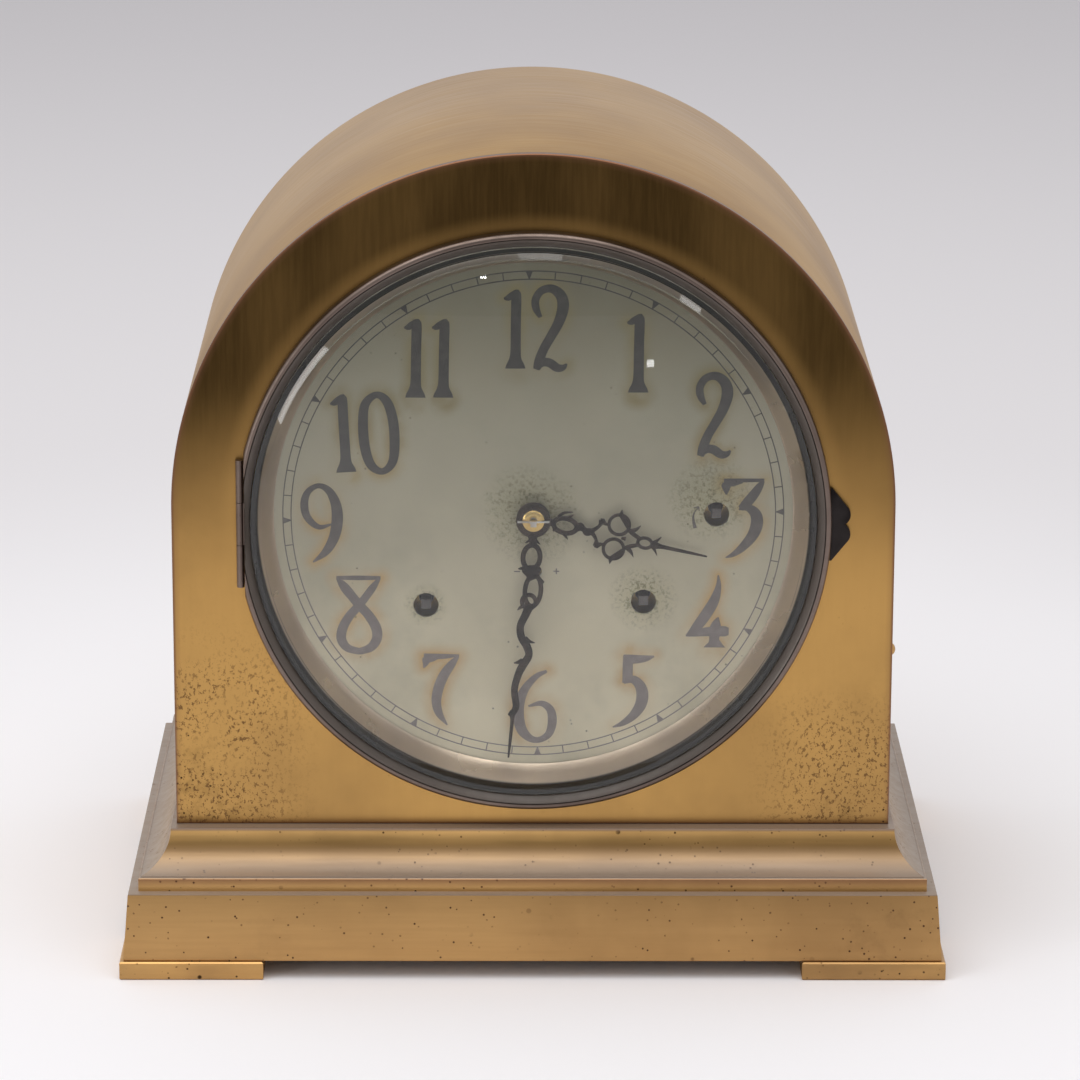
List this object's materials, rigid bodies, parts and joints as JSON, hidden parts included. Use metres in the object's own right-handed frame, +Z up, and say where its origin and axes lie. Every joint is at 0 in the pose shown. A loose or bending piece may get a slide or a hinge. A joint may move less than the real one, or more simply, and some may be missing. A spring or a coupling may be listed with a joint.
{
  "type": "arched shelf clock",
  "caption": "Arched metal shelf clock on a stepped base, with a hinged glazed bezel, silvered dial, two pierced hands, three winding squares, a chime train and a pendulum.",
  "frame": {"origin": "centre of the footprint, on the surface that the four feet stand on", "axes": "+Z up, -Y out of the dial towards the viewer, +X to the viewer's right"},
  "size_m": [0.3048, 0.216, 0.305],
  "materials": {
    "bronze": "satin, aged and pitted",
    "blackened_bronze": "matt black",
    "glass": "polished",
    "silvered_brass": "matt, aged",
    "movement_brass": "brushed",
    "steel": "polished",
    "hand_steel": "dark, satin",
    "wood": "matt",
    "cast_iron": "painted"
  },
  "bodies": {
    "case": {"feet": "bronze", "base_block": "bronze", "base_cove": "bronze", "base_boards": "wood", "case_hood": "bronze", "front_plate": "bronze", "door_stops": "bronze", "side_screw": "bronze", "door_hinge_fixed": "bronze", "bezel_hinge_fixed": "bronze", "dial_plate": "silvered_brass", "dial_posts": "movement_brass", "movement_front_plate": "movement_brass", "movement_back_plate": "movement_brass", "plate_pillars": "movement_brass", "movement_seat": "wood", "suspension_cock": "movement_brass", "gong_rods": "steel", "gong_stand": "cast_iron", "hammer_frame": "movement_brass"},
    "bezel": {"bezel_ring": "bronze", "bezel_glass": "glass", "sight_ring": "silvered_brass", "bezel_tab": "blackened_bronze", "bezel_hinge_leaf": "bronze"},
    "rear_door": {"back_door": "bronze", "door_hinge_leaf": "bronze"},
    "door_latch": {"door_knob": "bronze"},
    "minute_work": {"centre_arbor": "steel", "cannon_pinion": "steel", "minute_hand": "hand_steel", "hand_washer": "movement_brass", "hand_taper_pin": "steel"},
    "hour_work": {"hour_wheel": "movement_brass", "hour_hand": "hand_steel"},
    "minute_wheel": {"minute_wheel": "movement_brass"},
    "time_barrel": {"time_barrel": "movement_brass"},
    "strike_barrel": {"strike_barrel": "movement_brass"},
    "chime_barrel": {"chime_barrel": "movement_brass"},
    "time_winding": {"time_winding_arbor": "steel"},
    "strike_winding": {"strike_winding_arbor": "steel"},
    "chime_winding": {"chime_winding_arbor": "steel"},
    "second_wheel": {"second_wheel": "movement_brass"},
    "centre_wheel": {"centre_wheel": "movement_brass"},
    "third_wheel": {"third_wheel": "movement_brass"},
    "escape_wheel": {"escape_wheel": "movement_brass"},
    "pendulum": {"pallets": "steel", "crutch": "steel", "suspension_spring": "steel", "pendulum_rod": "steel", "pendulum_bob": "movement_brass"},
    "rating_nut": {"rating_nut": "movement_brass"},
    "regulator": {"regulator_arbor": "steel"},
    "chime_drum": {"chime_drum": "movement_brass"},
    "hammer_1": {"hammer_1": "steel"},
    "hammer_2": {"hammer_2": "steel"},
    "hammer_3": {"hammer_3": "steel"},
    "hammer_4": {"hammer_4": "steel"},
    "hammer_5": {"hammer_5": "steel"}
  },
  "joints": [
    {"name": "bezel_opening", "type": "hinge", "parent": "case", "child": "bezel", "pos_m": [-0.1069, -0.0856, 0.1684], "axis": [0, 0, -1], "range_deg": [0, 110]},
    {"name": "rear_door_opening", "type": "hinge", "parent": "case", "child": "rear_door", "pos_m": [-0.1308, 0.0972, 0.1127], "axis": [0, 0, 1], "range_deg": [0, 110]},
    {"name": "door_latch_turn", "type": "hinge", "parent": "rear_door", "child": "door_latch", "pos_m": [0.115, 0.0952, 0.1127], "axis": [0, -1, 0], "range_deg": [0, 90]},
    {"name": "minute_spin", "type": "hinge", "parent": "case", "child": "minute_work", "pos_m": [0, -0.075, 0.1684], "axis": [0, 1, 0], "continuous": true},
    {"name": "hour_spin", "type": "hinge", "parent": "case", "child": "hour_work", "pos_m": [0, -0.075, 0.1684], "axis": [0, 1, 0], "continuous": true},
    {"name": "minute_wheel_spin", "type": "hinge", "parent": "case", "child": "minute_wheel", "pos_m": [0.01039, -0.065, 0.1744], "axis": [0, 1, 0], "continuous": true},
    {"name": "escape_spin", "type": "hinge", "parent": "case", "child": "escape_wheel", "pos_m": [0, -0.04, 0.19641], "axis": [0, 1, 0], "continuous": true},
    {"name": "third_spin", "type": "hinge", "parent": "case", "child": "third_wheel", "pos_m": [-0.00904, -0.04, 0.18407], "axis": [0, 1, 0], "continuous": true},
    {"name": "centre_spin", "type": "hinge", "parent": "case", "child": "centre_wheel", "pos_m": [0, -0.04, 0.1684], "axis": [0, 1, 0], "continuous": true},
    {"name": "second_spin", "type": "hinge", "parent": "case", "child": "second_wheel", "pos_m": [0.01289, -0.04, 0.15259], "axis": [0, 1, 0], "continuous": true},
    {"name": "time_barrel_spin", "type": "hinge", "parent": "case", "child": "time_barrel", "pos_m": [0.0406, -0.04, 0.1358], "axis": [0, 1, 0], "continuous": true},
    {"name": "strike_barrel_spin", "type": "hinge", "parent": "case", "child": "strike_barrel", "pos_m": [-0.0394, -0.04, 0.1344], "axis": [0, 1, 0], "continuous": true},
    {"name": "chime_barrel_spin", "type": "hinge", "parent": "case", "child": "chime_barrel", "pos_m": [0.0671, -0.04, 0.1691], "axis": [0, 1, 0], "continuous": true},
    {"name": "chime_drum_spin", "type": "hinge", "parent": "case", "child": "chime_drum", "pos_m": [0.0797, -0.04, 0.14728], "axis": [0, 1, 0], "continuous": true},
    {"name": "time_winding_turn", "type": "hinge", "parent": "case", "child": "time_winding", "pos_m": [0.0406, -0.04, 0.1358], "axis": [0, 1, 0], "continuous": true},
    {"name": "strike_winding_turn", "type": "hinge", "parent": "case", "child": "strike_winding", "pos_m": [-0.0394, -0.04, 0.1344], "axis": [0, 1, 0], "continuous": true},
    {"name": "chime_winding_turn", "type": "hinge", "parent": "case", "child": "chime_winding", "pos_m": [0.0671, -0.04, 0.1691], "axis": [0, 1, 0], "continuous": true},
    {"name": "regulator_turn", "type": "hinge", "parent": "case", "child": "regulator", "pos_m": [0.0008, -0.066, 0.1474], "axis": [0, 1, 0], "continuous": true},
    {"name": "pendulum_swing", "type": "hinge", "parent": "case", "child": "pendulum", "pos_m": [0, -0.0095, 0.21441], "axis": [0, 1, 0], "range_deg": [-3, 3]},
    {"name": "rating_nut_turn", "type": "hinge", "parent": "pendulum", "child": "rating_nut", "pos_m": [0, -0.0095, 0.04841], "axis": [0, 0, 1], "continuous": true},
    {"name": "hammer_1_lift", "type": "hinge", "parent": "case", "child": "hammer_1", "pos_m": [0.099, 0.005, 0.108], "axis": [0, 1, 0], "range_deg": [0, 10]},
    {"name": "hammer_2_lift", "type": "hinge", "parent": "case", "child": "hammer_2", "pos_m": [0.099, 0.016, 0.108], "axis": [0, 1, 0], "range_deg": [0, 10]},
    {"name": "hammer_3_lift", "type": "hinge", "parent": "case", "child": "hammer_3", "pos_m": [0.099, 0.027, 0.108], "axis": [0, 1, 0], "range_deg": [0, 10]},
    {"name": "hammer_4_lift", "type": "hinge", "parent": "case", "child": "hammer_4", "pos_m": [0.099, 0.038, 0.108], "axis": [0, 1, 0], "range_deg": [0, 10]},
    {"name": "hammer_5_lift", "type": "hinge", "parent": "case", "child": "hammer_5", "pos_m": [0.099, 0.049, 0.108], "axis": [0, 1, 0], "range_deg": [0, 10]}
  ],
  "couplings": [
    {"joint": "hour_spin", "follows": "minute_spin", "ratio": 0.083333},
    {"joint": "minute_wheel_spin", "follows": "minute_spin", "ratio": -0.33333},
    {"joint": "third_spin", "follows": "escape_spin", "ratio": -0.13333},
    {"joint": "centre_spin", "follows": "escape_spin", "ratio": 0.016667},
    {"joint": "second_spin", "follows": "escape_spin", "ratio": -0.0033333},
    {"joint": "time_barrel_spin", "follows": "escape_spin", "ratio": 0.00041667},
    {"joint": "chime_drum_spin", "follows": "chime_barrel_spin", "ratio": -6}
  ]
}
